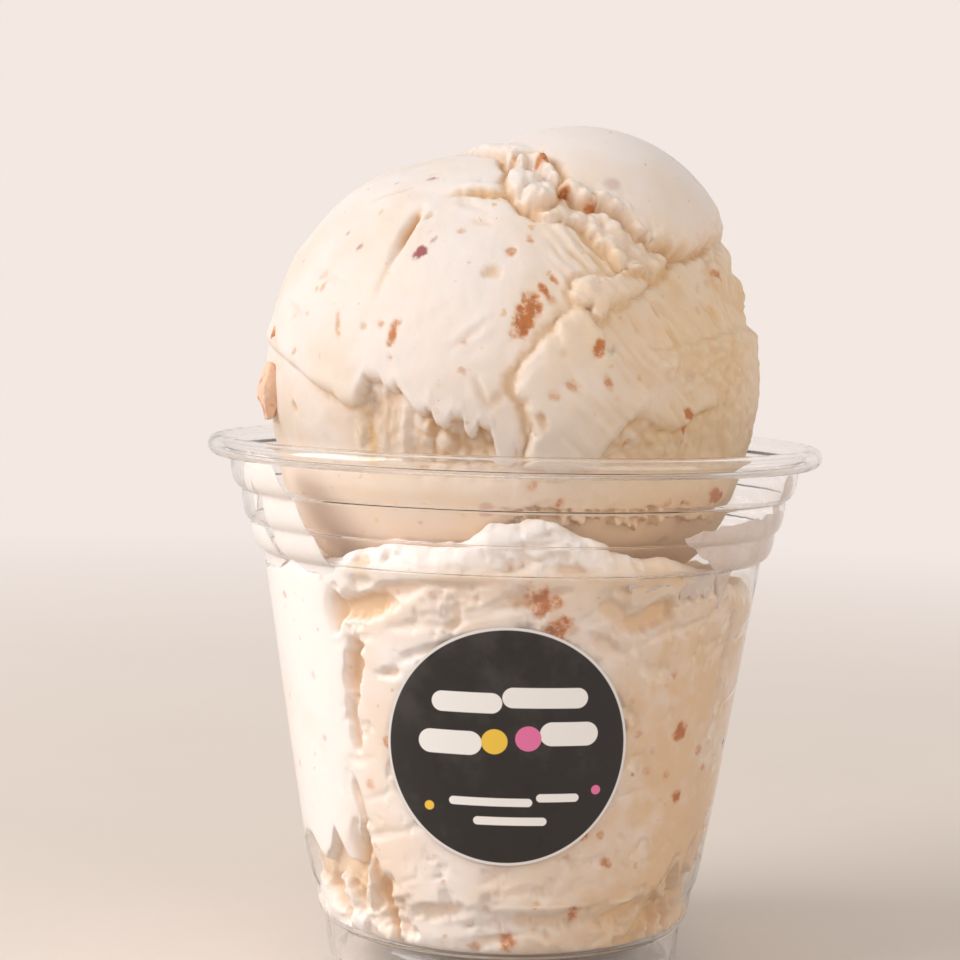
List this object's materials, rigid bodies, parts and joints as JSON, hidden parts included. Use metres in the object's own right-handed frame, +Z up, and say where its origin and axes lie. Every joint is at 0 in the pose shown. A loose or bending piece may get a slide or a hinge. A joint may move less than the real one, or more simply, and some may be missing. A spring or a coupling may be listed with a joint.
{
  "type": "gelato cup",
  "caption": "Clear thin-walled dessert cup with a rolled rim and stacking rings, packed with gelato and topped with a large scoop that holds a toffee chunk.",
  "frame": {"origin": "on the cup's axis, at the plane the cup stands on", "axes": "+Z up along the cup's axis; the label faces -Y; +X to its right"},
  "size_m": [0.098, 0.098, 0.1336],
  "materials": {
    "clear_plastic": "clear, glossy, thin sheet",
    "gelato_packed": "soft frozen cream, folded and lumpy, pressed to the wall",
    "gelato": "soft frozen cream with small flecks, moist in places",
    "toffee": "broken toffee, satin",
    "label_film": "printed film, satin"
  },
  "bodies": {
    "root": {"cup": "clear_plastic", "gelato_filling": "gelato_packed", "gelato_scoop": "gelato", "toffee_chunk": "toffee", "label": "label_film"}
  },
  "joints": []
}
